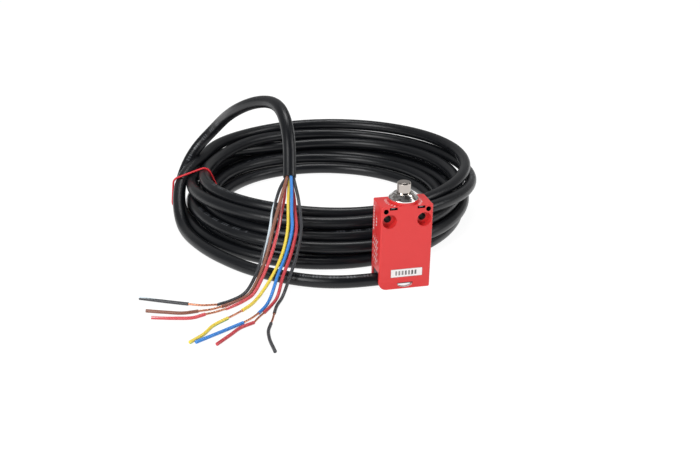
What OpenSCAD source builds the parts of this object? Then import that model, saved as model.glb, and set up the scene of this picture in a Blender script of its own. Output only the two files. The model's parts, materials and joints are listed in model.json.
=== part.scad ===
// Miniature safety limit switch with a metal end plunger and a moulded-in cable.
// Origin: centre of the body's bottom face. +Z runs up along the plunger, the front face
// looks along -Y and the mounting face along +Y. Millimetres.

/* [Body] */
// Width of the die-cast body
body_w = 30; // [30:0.1:31]
// Depth of the body, front face to mounting face
body_d = 16; // [16:0.1:17]
// Height of the body, without the turret
body_h = 50; // [50:0.1:51]
// Front wall of the body
front_wall = 2; // [1.6:0.1:2.2]
// Side walls of the body
side_wall = 2.2; // [1.8:0.1:2.4]
// Thickness of the top, which holds the head
top_wall = 4; // [3.8:0.1:4.2]
// Rounding of the body's long edges
edge_r = 0.8; // [0.4:0.1:1]
// Rounded cut at the corner where the cable leaves
corner_r = 4.4; // [3.8:0.1:4.8]

/* [Fixing holes] */
// Distance between the two fixing holes
hole_spacing = 20; // [19.8:0.1:20.4]
// Diameter of the fixing holes
hole_d = 4.2; // [3.8:0.1:4.4]
// Drop of the fixing holes below the top of the body
hole_drop = 8.7; // [8.6:0.1:8.9]
// Diameter of the counterbore for the screw head
counterbore_d = 8.2; // [7.8:0.1:8.4]
// Depth of the counterbore
counterbore_depth = 4.4; // [4:0.1:5]
// Distance between the two small threaded holes
plate_hole_spacing = 24.4; // [24.2:0.1:24.8]
// Diameter of the small threaded holes
plate_hole_d = 2.8; // [2.4:0.1:2.8]
// Drop of the small threaded holes below the top
plate_hole_drop = 2.7; // [2.6:0.1:2.8]
// Depth of the small threaded holes
plate_hole_depth = 6; // [4:0.5:7]

/* [Head] */
// Diameter of the head's spigot in the top of the body
spigot_d = 13.2; // [13:0.1:13.4]
// Diameter of the head's flange
flange_d = 16.6; // [16:0.1:17]
// Height of the flange's straight rim
rim_h = 0.6; // [0.4:0.1:0.8]
// Height of the flange's cone above its rim
cone_h = 2.9; // [2.5:0.1:3.2]
// Diameter of the flat at the top of the cone
nose_d = 11; // [10.6:0.1:11.4]
// Height of the turret ring cast on the body's top
turret_h = 1.6; // [1.2:0.1:1.8]
// Diameter of the turret ring
turret_d = 16; // [15.8:0.1:16]

/* [Plunger] */
// Diameter of the plunger
plunger_d = 7.7; // [7.5:0.1:7.9]
// Height of the plunger's tip above the nose at rest
plunger_reach = 6.2; // [6:0.1:6.8]
// Full travel of the plunger
plunger_travel = 4; // [3.5:0.1:4]
// Radial running clearance of the plunger in the head
plunger_fit = 0.08; // [0.05:0.01:0.1]
// Chamfer round the plunger's tip
tip_chamfer = 0.7; // [0.4:0.1:0.9]
// Diameter of the stem below the plunger
stem_d = 3.6; // [3.2:0.1:4]

/* [Head clip] */
// Thickness of the sheet steel clip that locks the head
clip_t = 1.2; // [1:0.1:1.3]
// Width of each leg of the clip
leg_w = 4.2; // [3.9:0.1:4.3]
// Distance between the middles of the two legs
leg_spacing = 16; // [15.8:0.1:16.2]

/* [Contacts] */
// Height of one pole's space in the contact block
pole_pitch = 6.2; // [6.2:0.1:6.3]
// Length of a moving contact bridge
bridge_l = 15; // [14:0.1:15.6]
// Width of a moving contact bridge
bridge_w = 2.2; // [2:0.1:2.4]
// Thickness of the contact metal
contact_t = 0.5; // [0.4:0.05:0.5]
// Diameter of a silver contact button
button_d = 2; // [1.6:0.1:2.2]
// Height of a silver contact button
button_h = 0.5; // [0.4:0.05:0.5]

/* [Cable] */
// Outer diameter of the cable
cable_d = 7.5; // [7.5]
// Diameter of one insulated core of the cable
wire_d = 1.9; // [1.9]
// Diameter of the bare copper of one core
copper_d = 1.2; // [1.2]
// Radius of the coil, inside
coil_in_r = 68; // [66:1:69]
// Radius of the coil, outside
coil_out_r = 100; // [98:1:101]
// Height of the coil
coil_h = 34; // [32:1:34]
// Thickness of the wire tie round the coil
tie_d = 1.4; // [1.2:0.1:1.5]

/* [Label] */
// Width of the date label
label_w = 18.5; // [14:0.5:20]
// Height of the date label
label_h = 4.9; // [4:0.1:6]
// Thickness of the date label
label_t = 0.12; // [0.1:0.02:0.2]
// Height of the label's middle above the bottom
label_z = 9.7; // [9.2:0.1:11]

/* [Hidden] */

$fn = 64;
slack = 0.1;         // clearance of a piece in its seat
touch = 0.05;        // gap between faces that meet
over = 1;            // how far a cutting tool runs past a face

// Levels and places that follow from the body
half_w = body_w / 2;
half_d = body_d / 2;
hole_z = body_h - hole_drop;
hole_x = hole_spacing / 2;
plate_hole_x = plate_hole_spacing / 2;
plate_hole_z = body_h - plate_hole_drop;
boss_r = counterbore_d / 2 + 1.2;
cavity_x = half_w - side_wall;
cavity_front = -half_d + front_wall;
cavity_top = hole_z - boss_r;
channel_x = hole_x - boss_r;
ceiling = body_h - top_wall;

// Cable entry: an open pocket in the lower left corner
entry_x = -6.6;                     // inner end of the pocket
entry_top = 10;                     // roof of the pocket
entry_back = half_d - 2.5;          // back wall of the pocket
entry_y = cavity_front + cable_d / 2 + 0.75;    // axis of the cable
entry_z = 4.2;
roof_t = 0.8;
clamp_t = 0.6;                      // crimped ring on the sheath
cavity_bottom = entry_top + roof_t;

// Strap slot in the front wall, with an open notch behind it
strap_x = 0.3;
strap_w = 8.4;
strap_z = 3.2;
strap_drop = 2.4;
notch_w = 10;
notch_h = 4.6;

// Back cover
cover_t = 1.5;
cover_lip = 0.8;
cover_face = half_d - slack;
cover_seat = cover_face - cover_t;

// Earth chamber in the lower right corner
earth_z = 6;
earth_r = 2.7;
earth_x = cavity_x - earth_r - 0.5;
earth_depth = 7;                    // from the back of the body
earth_floor = half_d - earth_depth;
earth_screw_r = 1.25;
earth_screw_end = earth_floor - 4;
tag_t = 0.7;

// The label stands a little to the right of the middle
label_x = 1;

// Head
turret_top = body_h + turret_h;
rim_top = turret_top + rim_h;
nose_top = rim_top + cone_h;
spigot_r = spigot_d / 2;
spigot_bore_r = spigot_r + slack;
plunger_r = plunger_d / 2;
bore_r = plunger_r + plunger_fit;
clip_gap = 0.15;
clip_z = body_h - 1.3;              // middle of the clip
tongue_w = 2.2;                     // narrow front end of each leg
tongue_t = 0.8;
tongue_l = 2;
slot_h = clip_t + 2 * clip_gap - 0.1;
leg_x = leg_spacing / 2;
leg_slot_w = leg_w + 0.2;
leg_in = leg_x - leg_w / 2;
groove_r = leg_in - clip_gap;
yoke_t = 0.9;
yoke_y = half_d - slack - yoke_t;
ring_r = 0.45;                      // section of the O-ring
ring_floor_r = spigot_r - 1.8 * ring_r;
ring_z = body_h + 0.5;
wiper_h = 1;
wiper_z = nose_top - 1.8;
wiper_t = 0.8;

// Plunger
tip_z = nose_top + plunger_reach;
head_bottom = ceiling - 0.4;
circlip_t = 0.6;
circlip_z = head_bottom - touch - circlip_t;
circlip_r = channel_x - 0.3;
circlip_groove = 0.5;
plunger_bottom = circlip_z - 0.8;

// Contact block
block_x = cavity_x - 0.3;
block_front = cavity_front + slack;
block_bottom = cavity_bottom + slack;
block_top = cavity_top - 0.3;
block_wall = 2;
block_lid_t = 0.8;
pole_y = 0;                         // plane of the contacts, under the plunger's axis
carrier_y = 2.4;                    // half the carrier's depth
block_back = pole_y + carrier_y + 0.8;
inner_x = block_x - block_wall;
inner_front = block_front + 1.6;
inner_bottom = block_bottom + 1.4;
inner_top = block_top - 1.7;
button_x = bridge_l / 2 - 1.2;
bridge_half = contact_t / 2;
nc1_z = inner_top - 2.5;
nc2_z = nc1_z - pole_pitch;
no_z = nc2_z - 6;
stem_end = 41;
spring_pocket = 0.6;
floor_pocket = 0.4;

// Carrier of the bridges
carrier_x = 2.2;
carrier_top = inner_top - slack;
carrier_bottom = no_z - 1.6;
window_y = bridge_w / 2 + slack;
window_h = 2.6;
stub_r = stem_d / 2;
stub_hole_r = stub_r + 0.15;

// Terminals
tab_w = 1.7;
tab_back = cover_seat - 1;
seat_depth = 1;

// Coil and routes of the cable, which is laid on the surface that the switch stands on
coil_x = -13;
coil_y = 116;
tie_angle = 169;
tie_corners = [[97, 6], [96.5, 16], [91, 21.5], [85, 26], [74.5, 5.5]];
lead_route = [[-8, -1.5, 4.2], [-15, -1.5, 4.2], [-24, -1.5, 4], [-36, -0.5, 4], [-48, 3.5, 3.8],
              [-60, 10, 3.8], [-71, 18.5, 3.8], [-82, 29, 3.8], [-91, 42, 3.8], [-99, 56, 3.8],
              [-105, 71, 3.8], [-109, 86, 3.8], [-111, 100, 3.8]];
tail_route = [[-106.5, 114, 4], [-108.5, 127, 4.5], [-108, 139, 9], [-105, 149, 17], [-100, 155.5, 25.5],
              [-96, 159, 31], [-89.5, 160.5, 38.5], [-83, 158.5, 45], [-78.5, 153, 52.5], [-75.5, 141, 60.5],
              [-72, 125, 69.5], [-63, 105, 80], [-57, 92, 84], [-54, 79, 85], [-53, 68, 83], [-53, 59, 78],
              [-53, 52, 71], [-54, 47.5, 62.5], [-55.5, 40.5, 53.5]];
black_white_route = [[-57.5, 41, 53], [-61, 38, 49.5], [-64.5, 34, 44], [-67.5, 30, 37.5], [-70, 25, 30],
                     [-75.5, 17, 19], [-82, 9, 8], [-89, 2, 2], [-98, -4, 1], [-106, -7, 1]];
brown_route = [[-57, 39.5, 54.5], [-59.5, 35.5, 50.5], [-62.5, 31, 45], [-65.5, 27, 38.5], [-69, 22, 31],
               [-73.5, 16, 19], [-80, 8, 8], [-87, 1, 1.5], [-96, -6, 1], [-104, -10, 1]];
red_white_route = [[-56, 42, 52], [-58, 39.5, 49], [-60, 34.5, 43], [-62.5, 30, 37], [-65.5, 24, 30],
                   [-71, 15.5, 19], [-78, 7, 8.5], [-85, 0, 1.5], [-94, -8, 1], [-102, -13, 1]];
green_yellow_route = [[-55.5, 40.5, 53.5], [-56.5, 37.5, 49.5], [-58, 32.5, 44], [-59, 28, 37.5],
                      [-60.5, 22, 30.5], [-65, 14, 19.5], [-73, 6, 8.5], [-81, -1, 1.5], [-88, -11, 1],
                      [-94, -17, 1]];
blue_route = [[-55, 39, 55], [-55.5, 35.5, 50], [-56.5, 30.5, 44.5], [-57.5, 26, 38], [-58.5, 20, 31],
              [-63, 13, 19.5], [-70, 5, 9], [-76, -5, 1.5], [-81, -15, 1], [-86, -22, 1]];
red_route = [[-54, 41.5, 52.5], [-54.5, 38.5, 49], [-54.5, 33, 43.5], [-55, 28, 37], [-56, 20, 31],
             [-61, 11, 19.5], [-67.5, 3, 9], [-73, -7, 1.5], [-78, -15, 1], [-83, -22, 1]];
black_route = [[-53.5, 40, 54], [-53, 36.5, 49.5], [-52.5, 31.5, 44], [-52.5, 26.5, 37.5],
               [-53.5, 19, 31], [-58, 10, 19], [-64, 2, 8.5], [-70, -7, 1.5], [-75, -16, 1],
               [-78, -24, 1]];

// Bare copper from the end of the insulation, and the slid-off end of the insulation
black_white_core = [[-106, -7, 1], [-114, -6, 1], [-121, -3, 1]];
brown_core = [[-104, -10, 1], [-110, -12, 1], [-117, -12.5, 1]];
red_white_core = [[-102, -13, 1], [-108, -15.5, 1], [-114, -17, 1]];
green_yellow_core = [[-94, -17, 1], [-99, -21, 1], [-103, -24, 1]];
blue_core = [[-86, -22, 1], [-91, -27, 1], [-96, -31, 1]];
red_core = [[-83, -22, 1], [-87, -27, 1], [-90.5, -32, 1]];
black_core = [[-78, -24, 1], [-80, -30, 1], [-82, -35, 1]];
black_white_tip = [[-121, -3, 1], [-133, 3, 1], [-146, 10, 1]];
brown_tip = [[-117, -12.5, 1], [-125, -13, 1], [-134, -10, 1], [-144, -6, 1]];
red_white_tip = [[-114, -17, 1], [-121, -19.5, 1], [-130, -18, 1], [-142, -14.5, 1]];
green_yellow_tip = [[-103, -24, 1], [-112, -31, 1], [-118, -39, 1], [-126, -46, 1]];
blue_tip = [[-96, -31, 1], [-109, -38.5, 1], [-123, -46.5, 1]];
red_tip = [[-90.5, -32, 1], [-98, -36, 1], [-105, -43, 1], [-113, -51, 1]];
black_tip = [[-82, -35, 1], [-85, -43, 1], [-86, -50, 1], [-86, -65, 1]];

// Points of a round corner, as an arc from one angle to another
function arc(cx, cy, r, from, to, steps) =
    [for (i = [0 : steps]) let(a = from + (to - from) * i / steps) [cx + r * cos(a), cy + r * sin(a)]];

// Rectangle with round corners
module round_rectangle(x0, x1, y0, y1, r) {
    polygon(concat(arc(x1 - r, y1 - r, r, 0, 90, 4), arc(x0 + r, y1 - r, r, 90, 180, 4),
                   arc(x0 + r, y0 + r, r, 180, 270, 4), arc(x1 - r, y0 + r, r, 270, 360, 4)));
}

// Front outline of the body, with the rounded cut where the cable leaves
module front_outline() {
    polygon(concat(arc(half_w - edge_r, body_h - edge_r, edge_r, 0, 90, 4),
                   arc(-half_w + edge_r, body_h - edge_r, edge_r, 90, 180, 4),
                   arc(-half_w + corner_r, corner_r, corner_r, 180, 270, 5),
                   arc(half_w - edge_r, edge_r, edge_r, 270, 360, 4)));
}

// Solid extruded along Y between two depths from an outline in X and Z
module along_y(y0, y1) {
    translate([0, y1, 0]) rotate([90, 0, 0]) linear_extrude(y1 - y0) children();
}

// Cylinder along Y between two depths, at a place in X and Z
module rod_y(x, z, r, y0, y1) {
    translate([x, y1, z]) rotate([90, 0, 0]) cylinder(r = r, h = y1 - y0);
}

// Box given by its two corners
module box(a, b) {
    translate(a) cube(b - a);
}

module body_form() {
    intersection() {
        along_y(-half_d, half_d) front_outline();
        translate([0, 0, -over]) linear_extrude(body_h + 2 * over)
            round_rectangle(-half_w, half_w, -half_d, half_d, edge_r);
    }
}

// Half-moon opening, flat on top and round below
module strap_outline() {
    intersection() {
        translate([strap_x, strap_z - strap_drop + strap_w]) circle(r = strap_w);
        translate([strap_x - strap_w / 2, strap_z - strap_drop]) square([strap_w, strap_drop]);
    }
}

module cover_outline(gap) {
    plate_x = cavity_x + cover_lip - gap;
    neck_x = channel_x + 0.5 - gap;
    plate_top = cavity_top + 0.2 - gap;
    plate_bottom = cavity_bottom - cover_lip + gap;
    foot_x = earth_x - earth_r - 0.6 + gap;
    foot_bottom = earth_z - earth_r - 0.6 + gap;
    polygon([[-plate_x, plate_bottom], [foot_x, plate_bottom], [foot_x, foot_bottom], [plate_x, foot_bottom],
             [plate_x, plate_top], [neck_x, plate_top], [neck_x, head_bottom - gap],
             [-neck_x, head_bottom - gap], [-neck_x, plate_top], [-plate_x, plate_top]]);
}

module case_cavity() {
    box([-cavity_x, cavity_front, cavity_bottom], [cavity_x, half_d + over, cavity_top]);
    box([-channel_x, cavity_front, cavity_top - over], [channel_x, cover_seat + touch, ceiling]);
    along_y(cover_seat, half_d + over) cover_outline(0);
    rod_y(earth_x, earth_z, earth_r, earth_floor, half_d + over);
    rod_y(earth_x, earth_z, earth_screw_r, earth_screw_end - 2 * slack, earth_floor + over);
}

module cable_pocket() {
    box([-half_w - over, cavity_front, -over], [entry_x, entry_back, entry_top]);
    box([strap_x - notch_w / 2, cavity_front, -over], [strap_x + notch_w / 2, half_d + over, notch_h]);
    along_y(-half_d - over, cavity_front + over) strap_outline();
}

module clip_slots() {
    for (side = [-1, 1])
        box([side * leg_x - leg_slot_w / 2, -half_d - over, clip_z - slot_h / 2],
            [side * leg_x + leg_slot_w / 2, half_d + over, clip_z + slot_h / 2]);
    box([-leg_x, yoke_y - slack, clip_z - slot_h / 2], [leg_x, half_d + over, clip_z + slot_h / 2]);
}

module case() {
    color([0.88, 0.22, 0.22]) difference() {
        union() {
            body_form();
            translate([0, 0, ceiling]) cylinder(d = turret_d, h = turret_top - ceiling);
        }
        case_cavity();
        cable_pocket();
        clip_slots();
        translate([0, 0, ceiling - over]) cylinder(r = spigot_bore_r, h = turret_h + top_wall + 2 * over);
        for (side = [-1, 1]) {
            rod_y(side * hole_x, hole_z, hole_d / 2, -half_d - over, half_d + over);
            rod_y(side * hole_x, hole_z, counterbore_d / 2, -half_d - over, -half_d + counterbore_depth);
            rod_y(side * plate_hole_x, plate_hole_z, plate_hole_d / 2,
                  -half_d - over, -half_d + plate_hole_depth);
        }
    }
}

module back_cover() {
    color([0.12, 0.12, 0.13]) along_y(cover_seat + touch, cover_face) cover_outline(slack);
}

module date_label() {
    color("white") box([label_x - label_w / 2, -half_d - label_t, label_z - label_h / 2],
                       [label_x + label_w / 2, -half_d, label_z + label_h / 2]);
}

module head_body() {
    flange_r = flange_d / 2;
    nose_r = nose_d / 2;
    color([0.8, 0.8, 0.8]) rotate_extrude() polygon([
        [bore_r, head_bottom], [spigot_r, head_bottom], [spigot_r, clip_z - slot_h / 2],
        [groove_r, clip_z - slot_h / 2], [groove_r, clip_z + slot_h / 2], [spigot_r, clip_z + slot_h / 2],
        [spigot_r, ring_z - ring_r], [ring_floor_r, ring_z - ring_r],
        [ring_floor_r, ring_z + ring_r], [spigot_r, ring_z + ring_r],
        [spigot_r, turret_top], [flange_r, turret_top], [flange_r, rim_top],
        [nose_r + 0.4, nose_top - 0.5], [nose_r, nose_top], [bore_r, nose_top],
        [bore_r, wiper_z + wiper_h], [bore_r + wiper_t, wiper_z + wiper_h],
        [bore_r + wiper_t, wiper_z], [bore_r, wiper_z]]);
}

module head_clip() {
    leg_front = -half_d + 0.8;
    color([0.75, 0.76, 0.78]) {
        for (side = [-1, 1]) {
            box([side * leg_x - leg_w / 2, leg_front + tongue_l, clip_z - clip_t / 2],
                [side * leg_x + leg_w / 2, yoke_y + yoke_t, clip_z + clip_t / 2]);
            box([side * leg_x - tongue_w / 2, leg_front, clip_z - tongue_t / 2],
                [side * leg_x + tongue_w / 2, leg_front + tongue_l + over, clip_z + tongue_t / 2]);
        }
        box([-leg_x, yoke_y, clip_z - clip_t / 2], [leg_x, yoke_y + yoke_t, clip_z + clip_t / 2]);
    }
}

module head_o_ring() {
    color([0.1, 0.1, 0.1]) translate([0, 0, ring_z])
        rotate_extrude() translate([ring_floor_r + ring_r, 0]) circle(r = ring_r - 0.02, $fn = 24);
}

module plunger_wiper() {
    color([0.15, 0.15, 0.15]) translate([0, 0, wiper_z + touch]) difference() {
        cylinder(r = bore_r + wiper_t - touch, h = wiper_h - 2 * touch);
        translate([0, 0, -over]) cylinder(r = plunger_r + 0.05, h = wiper_h + 2 * over);
    }
}

module plunger() {
    groove = plunger_r - circlip_groove;
    color([0.78, 0.76, 0.75]) rotate_extrude() polygon([
        [0, stem_end], [stub_r, stem_end], [stub_r, plunger_bottom], [plunger_r, plunger_bottom],
        [plunger_r, circlip_z], [groove, circlip_z], [groove, circlip_z + circlip_t],
        [plunger_r, circlip_z + circlip_t], [plunger_r, tip_z - tip_chamfer],
        [plunger_r - tip_chamfer, tip_z], [0, tip_z]]);
}

// Open ring that snaps into the plunger's groove and stops it against the head
module plunger_circlip() {
    inner = plunger_r - circlip_groove;
    color([0.4, 0.4, 0.42]) difference() {
        translate([0, 0, circlip_z]) cylinder(r = circlip_r, h = circlip_t);
        translate([0, 0, circlip_z - over]) cylinder(r = inner, h = circlip_t + 2 * over);
        box([-1.2, 0, circlip_z - over], [1.2, circlip_r + over, circlip_z + circlip_t + over]);
    }
}

// Coil spring as a swept tube of six sides: radius of the coil, wire, turns and two levels
module coil_spring(r, wire_r, turns, z0, z1) {
    steps = round(turns * 14);
    sides = 6;
    rise = z1 - z0 - 2 * wire_r;
    points = [for (i = [0 : steps]) let(t = i / steps, a = 360 * turns * t, z = z0 + wire_r + rise * t)
        for (k = [0 : sides - 1]) let(b = 360 * k / sides)
            [(r + wire_r * cos(b)) * cos(a), (r + wire_r * cos(b)) * sin(a), z + wire_r * sin(b)]];
    polyhedron(points, tube_faces(steps + 1, sides));
}

// Faces of a tube of rings, closed at both ends
function tube_faces(rings, sides) = concat(
    [[for (k = [0 : sides - 1]) sides - 1 - k]],
    [for (i = [0 : rings - 2]) for (k = [0 : sides - 1]) let(n = (k + 1) % sides)
        [i * sides + k, i * sides + n, (i + 1) * sides + n, (i + 1) * sides + k]],
    [[for (k = [0 : sides - 1]) (rings - 1) * sides + k]]);

module plunger_spring() {
    color([0.7, 0.7, 0.72])
        coil_spring(stub_r + 1, 0.35, 5, block_top + touch, plunger_bottom - touch);
}

// Moulded block that holds the fixed contacts and guides the carrier
module contact_housing() {
    color([0.93, 0.9, 0.82]) difference() {
        box([-block_x, block_front, block_bottom], [block_x, block_back, block_top]);
        box([-inner_x, inner_front, inner_bottom], [inner_x, block_back + over, inner_top]);
        translate([0, pole_y, inner_top - over])
            cylinder(r = stub_hole_r, h = block_top - inner_top + 2 * over);
        translate([0, pole_y, inner_bottom - floor_pocket]) cylinder(r = 1.8, h = over);
        for (side = [-1, 1], z = [nc1_seat, nc2_seat, no_seat])
            box([side < 0 ? -inner_x - seat_depth - slack : inner_x - over,
                 pole_y - bridge_w / 2 - slack, z - touch],
                [side < 0 ? -inner_x + over : inner_x + seat_depth + slack,
                 block_back + over, z + contact_t + touch]);
    }
}

// Undersides of the fixed contact strips
nc1_seat = nc1_z + bridge_half + 2 * button_h + touch;
nc2_seat = nc2_z + bridge_half + 2 * button_h + touch;
no_seat = no_z - bridge_half - 2 * button_h - touch - plunger_travel - contact_t;

module contact_cover() {
    color([0.9, 0.87, 0.8]) difference() {
        box([-block_x, block_back, block_bottom], [block_x, block_back + block_lid_t, block_top]);
        for (side = [-1, 1], z = [nc1_seat, nc2_seat, no_seat])
            box([side * (inner_x + seat_depth - tab_w / 2) - tab_w / 2 - slack, block_back - over, z - touch],
                [side * (inner_x + seat_depth - tab_w / 2) + tab_w / 2 + slack,
                 block_back + block_lid_t + over, z + contact_t + touch]);
    }
}

// Window of one bridge, with room for its spring below (NC) or above (NO)
module bridge_window(z, side) {
    z0 = side < 0 ? z - window_h : z - bridge_half - touch;
    z1 = side < 0 ? z + bridge_half + touch : z + window_h;
    box([-carrier_x - over, pole_y - window_y, z0], [carrier_x + over, pole_y + window_y, z1]);
}

module contact_carrier() {
    color([0.2, 0.35, 0.6]) difference() {
        union() {
            box([-carrier_x, pole_y - carrier_y, carrier_bottom],
                [carrier_x, pole_y + carrier_y, carrier_top]);
            translate([0, pole_y, carrier_top]) cylinder(r = stub_r, h = stem_end - touch - carrier_top);
        }
        bridge_window(nc1_z, -1);
        bridge_window(nc2_z, -1);
        bridge_window(no_z, 1);
        translate([0, pole_y, carrier_bottom - over]) cylinder(r = 1.8, h = over + spring_pocket);
    }
}

module carrier_spring() {
    color([0.7, 0.7, 0.72]) translate([0, pole_y, 0])
        coil_spring(1.3, 0.2, 4, inner_bottom - floor_pocket + touch, carrier_bottom + spring_pocket - touch);
}

// Bridge with its two silver buttons, which face up (1) or down (-1)
module bridge(z, side) {
    box([-bridge_l / 2, pole_y - bridge_w / 2, z - bridge_half],
        [bridge_l / 2, pole_y + bridge_w / 2, z + bridge_half]);
    for (end = [-1, 1])
        translate([end * button_x, pole_y, side > 0 ? z + bridge_half : z - bridge_half - button_h])
            cylinder(d = button_d, h = button_h);
}

module nc1_bridge() { color([0.8, 0.6, 0.4]) bridge(nc1_z, 1); }
module nc2_bridge() { color([0.8, 0.6, 0.4]) bridge(nc2_z, 1); }
module no_bridge() { color([0.8, 0.6, 0.4]) bridge(no_z, -1); }

module bridge_spring(z0, z1) {
    color([0.7, 0.7, 0.72]) translate([0, pole_y, 0]) coil_spring(0.75, 0.15, 3, z0 + touch, z1 - touch);
}

module nc1_spring() { bridge_spring(nc1_z - window_h, nc1_z - bridge_half); }
module nc2_spring() { bridge_spring(nc2_z - window_h, nc2_z - bridge_half); }
module no_spring() { bridge_spring(no_z + bridge_half, no_z + window_h); }

// Fixed contact: a strip under (or over) the bridge's end, a silver button and a tab out of the back
module terminal(seat, end, side) {
    inner_end = button_x - button_d / 2 - 0.2;
    outer_end = inner_x + seat_depth;
    button_z = side < 0 ? seat - button_h : seat + contact_t;
    color([0.85, 0.7, 0.35]) {
        box([end > 0 ? inner_end : -outer_end, pole_y - bridge_w / 2, seat],
            [end > 0 ? outer_end : -inner_end, pole_y + bridge_w / 2, seat + contact_t]);
        box([end > 0 ? outer_end - tab_w : -outer_end, pole_y, seat],
            [end > 0 ? outer_end : -outer_end + tab_w, tab_back, seat + contact_t]);
        translate([end * button_x, pole_y, button_z]) cylinder(d = button_d, h = button_h);
    }
}

module nc1_terminal_left() { terminal(nc1_seat, -1, -1); }
module nc1_terminal_right() { terminal(nc1_seat, 1, -1); }
module nc2_terminal_left() { terminal(nc2_seat, -1, -1); }
module nc2_terminal_right() { terminal(nc2_seat, 1, -1); }
module no_terminal_left() { terminal(no_seat, -1, 1); }
module no_terminal_right() { terminal(no_seat, 1, 1); }

// Resin cast behind the contact block, round the tabs that the cable's cores are soldered to
module potting_resin() {
    resin_front = block_back + block_lid_t + touch;
    tab_x = inner_x + seat_depth - tab_w / 2;
    color([0.15, 0.15, 0.16]) difference() {
        box([-block_x, resin_front, block_bottom], [block_x, cover_seat, block_top]);
        for (side = [-1, 1], z = [nc1_seat, nc2_seat, no_seat])
            box([side * tab_x - tab_w / 2 - touch, resin_front - over, z - touch],
                [side * tab_x + tab_w / 2 + touch, tab_back + touch, z + contact_t + touch]);
    }
}

// Ring tag under the earth screw
module earth_tag() {
    color([0.85, 0.7, 0.35]) difference() {
        rod_y(earth_x, earth_z, earth_r - 0.3, earth_floor + touch, earth_floor + tag_t);
        rod_y(earth_x, earth_z, earth_screw_r + slack, earth_floor - over, earth_floor + tag_t + over);
    }
}

module earth_screw() {
    head_y = earth_floor + tag_t + touch;
    head_h = 1.6;
    slot_w = 0.6;
    color([0.8, 0.8, 0.82]) difference() {
        union() {
            rod_y(earth_x, earth_z, earth_screw_r - touch, earth_screw_end, head_y + touch);
            rod_y(earth_x, earth_z, earth_r - 0.5, head_y, head_y + head_h);
        }
        box([earth_x - slot_w / 2, head_y + head_h / 2, earth_z - earth_r],
            [earth_x + slot_w / 2, head_y + head_h + over, earth_z + earth_r]);
    }
}

// Moulded grommet that fills the cable entry and grips the sheath
module cable_gland() {
    gland_in = 0.8;
    gland_lift = 0.3;
    color([0.2, 0.2, 0.21]) difference() {
        intersection() {
            box([-half_w + gland_in, cavity_front + slack, gland_lift],
                [entry_x - slack, entry_back - slack, entry_top - slack]);
            along_y(-half_d, half_d) front_outline();
        }
        translate([-half_w - over, entry_y, entry_z]) rotate([0, 90, 0])
            cylinder(d = cable_d + slack, h = half_w + over + lead_route[0][0] + clamp_t + 2 * touch);
    }
}

// Crimped ring that keeps the sheath from pulling out
module cable_clamp() {
    color([0.75, 0.76, 0.78]) translate([lead_route[0][0] + touch, entry_y, entry_z]) rotate([0, 90, 0])
        difference() {
            cylinder(d = cable_d, h = clamp_t);
            translate([0, 0, -over]) cylinder(d = cable_d - 2, h = clamp_t + 2 * over);
        }
}

// Rings of a tube that follows a route: each ring stands square to the route at its point
function unit(v) = v / norm(v);
function heading(route, i) =
    i == 0 ? unit(route[1] - route[0]) :
    i == len(route) - 1 ? unit(route[i] - route[i - 1]) :
    unit(unit(route[i + 1] - route[i]) + unit(route[i] - route[i - 1]));
function sideways(v) = unit(abs(v[2]) > 0.9 ? cross(v, [0, -1, 0]) : cross(v, [0, 0, 1]));

// Sideways of each ring, kept close to the ring before, so that the tube does not twist
function carried(route, i, last) = let(h = heading(route, i)) unit(last - h * (last * h));
function frames(route, i, last) = i == len(route) ? [] :
    let(s = i == 0 ? sideways(heading(route, 0)) : carried(route, i, last))
        concat([s], frames(route, i + 1, s));

module tube(route, diameter, sides) {
    across = frames(route, 0, [0, 0, 0]);
    points = [for (i = [0 : len(route) - 1]) let(h = heading(route, i), s = across[i], u = cross(s, h))
        for (k = [0 : sides - 1]) let(b = 360 * k / sides)
            route[i] + diameter / 2 * (s * cos(b) + u * sin(b))];
    polyhedron(points, [for (f = tube_faces(len(route), sides)) [for (k = [len(f) - 1 : -1 : 0]) f[k]]]);
}

module cable_lead() { color([0.1, 0.1, 0.11]) tube(lead_route, cable_d, 10); }
module cable_tail() { color([0.1, 0.1, 0.11]) tube(tail_route, cable_d, 10); }

// Frame of the coil's section where the tie goes round it: X outwards, Y up
module at_tie() {
    translate([coil_x, coil_y, 0]) rotate([0, 0, tie_angle]) children();
}

// Band laid tight round turns of the cable, as arcs round the outermost turns and spans between them
function band(turns, r) = [for (i = [0 : len(turns) - 1])
    let(last = len(turns) - 1, turn = turns[i],
        in = turn - turns[i == 0 ? last : i - 1], out = turns[i == last ? 0 : i + 1] - turn,
        from = atan2(in[1], in[0]) - 90, to = atan2(out[1], out[0]) - 90)
    for (point = arc(turn[0], turn[1], r, from, to < from ? to + 360 : to, 4)) point];

// Slab across the coil where the tie lies, as thick as the tie and a gap on each side
module tie_slab(gap) {
    at_tie() rotate([90, 0, 0]) translate([0, 0, -tie_d / 2 - gap])
        linear_extrude(tie_d + 2 * gap) children();
}

// Outer shape of the coiled cable, notched where the tie goes round it
module cable_coil() {
    color([0.1, 0.1, 0.11]) difference() {
        translate([coil_x, coil_y, 0])
            rotate_extrude($fn = 96) round_rectangle(coil_in_r, coil_out_r, 0, coil_h, 4);
        tie_slab(slack) difference() {
            translate([coil_in_r - over, -over])
                square([coil_out_r - coil_in_r + 2 * over, coil_h + 2 * over]);
            polygon(band(tie_corners, cable_d / 2 - touch));
        }
    }
}

module cable_tie() {
    color([0.8, 0.05, 0.08]) tie_slab(0) difference() {
        polygon(band(tie_corners, cable_d / 2 + tie_d));
        polygon(band(tie_corners, cable_d / 2));
    }
}

module wire(route, paint) { color(paint) tube(route, wire_d, 8); }
module core(route) { color([0.85, 0.5, 0.3]) tube(route, copper_d, 8); }

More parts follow.
